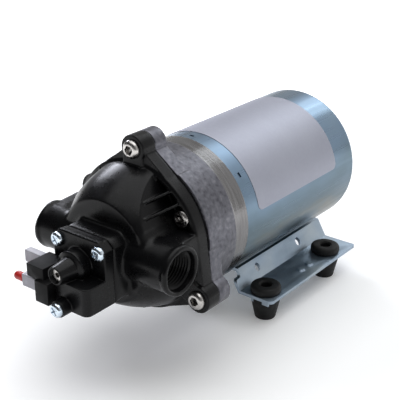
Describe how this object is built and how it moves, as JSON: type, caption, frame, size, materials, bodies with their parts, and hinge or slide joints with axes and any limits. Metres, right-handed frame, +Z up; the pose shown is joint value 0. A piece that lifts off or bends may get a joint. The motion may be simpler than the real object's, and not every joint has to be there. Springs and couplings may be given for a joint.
{
  "type": "caravan water pump",
  "caption": "Electric diaphragm water pump with a motor can, cast front housing, ribbed head with side ports, pressure switch on the nose and a sheet base on rubber feet.",
  "frame": {"origin": "on the floor, in the middle of the four foot holes", "axes": "+X out of the outlet port, +Y along the motor towards its closed end, +Z up"},
  "size_m": [0.0824, 0.1841, 0.1038],
  "materials": {
    "plated_can": "bluish zinc plating, satin, with faint iridescent bands",
    "plated_base": "bluish zinc plating, satin",
    "label_film": "silver-lilac film, bare",
    "cast_alloy": "die-cast, mottled grey",
    "black_moulding": "moulded, satin black",
    "switch_moulding": "moulded, fine matt black",
    "stainless": "stainless, bright",
    "zinc_screw": "bright blue zinc",
    "black_rubber": "matt",
    "valve_rubber": "matt",
    "clear_sleeve": "translucent, soft gloss",
    "red_sleeve": "translucent red",
    "pale_moulding": "moulded, natural",
    "card": "phenolic board",
    "carbon": "matt carbon",
    "magnet": "sintered ferrite",
    "core_steel": "plain steel",
    "bearing_steel": "ground",
    "spring_steel": "drawn wire",
    "copper": "enamelled copper",
    "brass": "plain brass"
  },
  "bodies": {
    "pump": {"motor_can": "plated_can", "rating_label": "label_film", "field_magnets": "magnet", "brush_card": "card", "brush_holders": "brass", "brushes": "carbon", "brush_springs": "spring_steel", "bearing_outer_rings": "bearing_steel", "bearing_balls": "bearing_steel", "front_housing": "cast_alloy", "pump_head": "black_moulding", "ear_screws": "stainless", "inner_head_screws": "stainless", "valve_plate": "pale_moulding", "inlet_valves": "valve_rubber", "outlet_valve": "valve_rubber", "collar_seal": "black_rubber", "pump_diaphragm": "black_rubber", "check_cage": "pale_moulding", "check_spring": "spring_steel", "switch_diaphragm": "black_rubber", "switch_cover": "black_moulding", "cover_screws": "zinc_screw", "switch_spring": "spring_steel", "microswitch": "switch_moulding", "switch_terminals": "brass", "terminal_boots": "clear_sleeve", "lead_stub": "red_sleeve", "mounting_base": "plated_base", "rubber_feet": "black_rubber", "base_screws": "zinc_screw"},
    "rotor": {"motor_shaft": "bearing_steel", "armature_core": "core_steel", "armature_windings": "copper", "commutator": "copper", "bearing_inner_rings": "bearing_steel", "drive_cam": "core_steel", "cam_set_screw": "core_steel", "wobble_inner_ring": "bearing_steel"},
    "wobbler": {"wobble_plate": "pale_moulding", "wobble_outer_ring": "bearing_steel", "wobble_balls": "bearing_steel", "pistons": "pale_moulding", "piston_screws": "stainless"},
    "poppet": {"check_poppet": "pale_moulding"},
    "plunger": {"switch_plunger": "pale_moulding"},
    "button": {"switch_button": "pale_moulding"},
    "cap": {"spring_cap": "brass"},
    "adjuster": {"adjusting_screw": "stainless"}
  },
  "joints": [
    {"name": "rotor_spin", "type": "hinge", "parent": "pump", "child": "rotor", "pos_m": [0, -0.0795, 0.0572], "axis": [0, -1, 0], "continuous": true, "deforming": ["pump_diaphragm"]},
    {"name": "wobble_roll", "type": "hinge", "parent": "rotor", "child": "wobbler", "pos_m": [0, -0.0787, 0.0572], "axis": [0, -0.9981, -0.061], "continuous": true, "deforming": ["pump_diaphragm"]},
    {"name": "poppet_slide", "type": "slide", "parent": "pump", "child": "poppet", "axis": [1, 0, 0], "range_m": [0, 0.002], "stiffness_N_per_m": 100, "springref_m": -0.003, "deforming": ["check_spring"]},
    {"name": "plunger_slide", "type": "slide", "parent": "pump", "child": "plunger", "axis": [0, -1, 0], "range_m": [0, 0.0008], "stiffness_N_per_m": 1000, "springref_m": -0.002, "deforming": ["switch_spring", "switch_diaphragm"]},
    {"name": "button_slide", "type": "slide", "parent": "pump", "child": "button", "axis": [0, -1, 0], "range_m": [0, 0.0008], "stiffness_N_per_m": 200},
    {"name": "cap_slide", "type": "slide", "parent": "pump", "child": "cap", "axis": [0, -1, 0], "range_m": [-0.0012, 0.0008], "deforming": ["switch_spring"]},
    {"name": "adjuster_turn", "type": "hinge", "parent": "cap", "child": "adjuster", "pos_m": [0, -0.134, 0.0572], "axis": [0, -1, 0], "range_deg": [-540, 360], "deforming": ["switch_spring"]}
  ],
  "couplings": [
    {"joint": "wobble_roll", "follows": "rotor_spin", "ratio": -1},
    {"joint": "button_slide", "follows": "plunger_slide", "ratio": 1},
    {"joint": "adjuster_turn", "follows": "cap_slide", "rad_per_m": 7854}
  ]
}
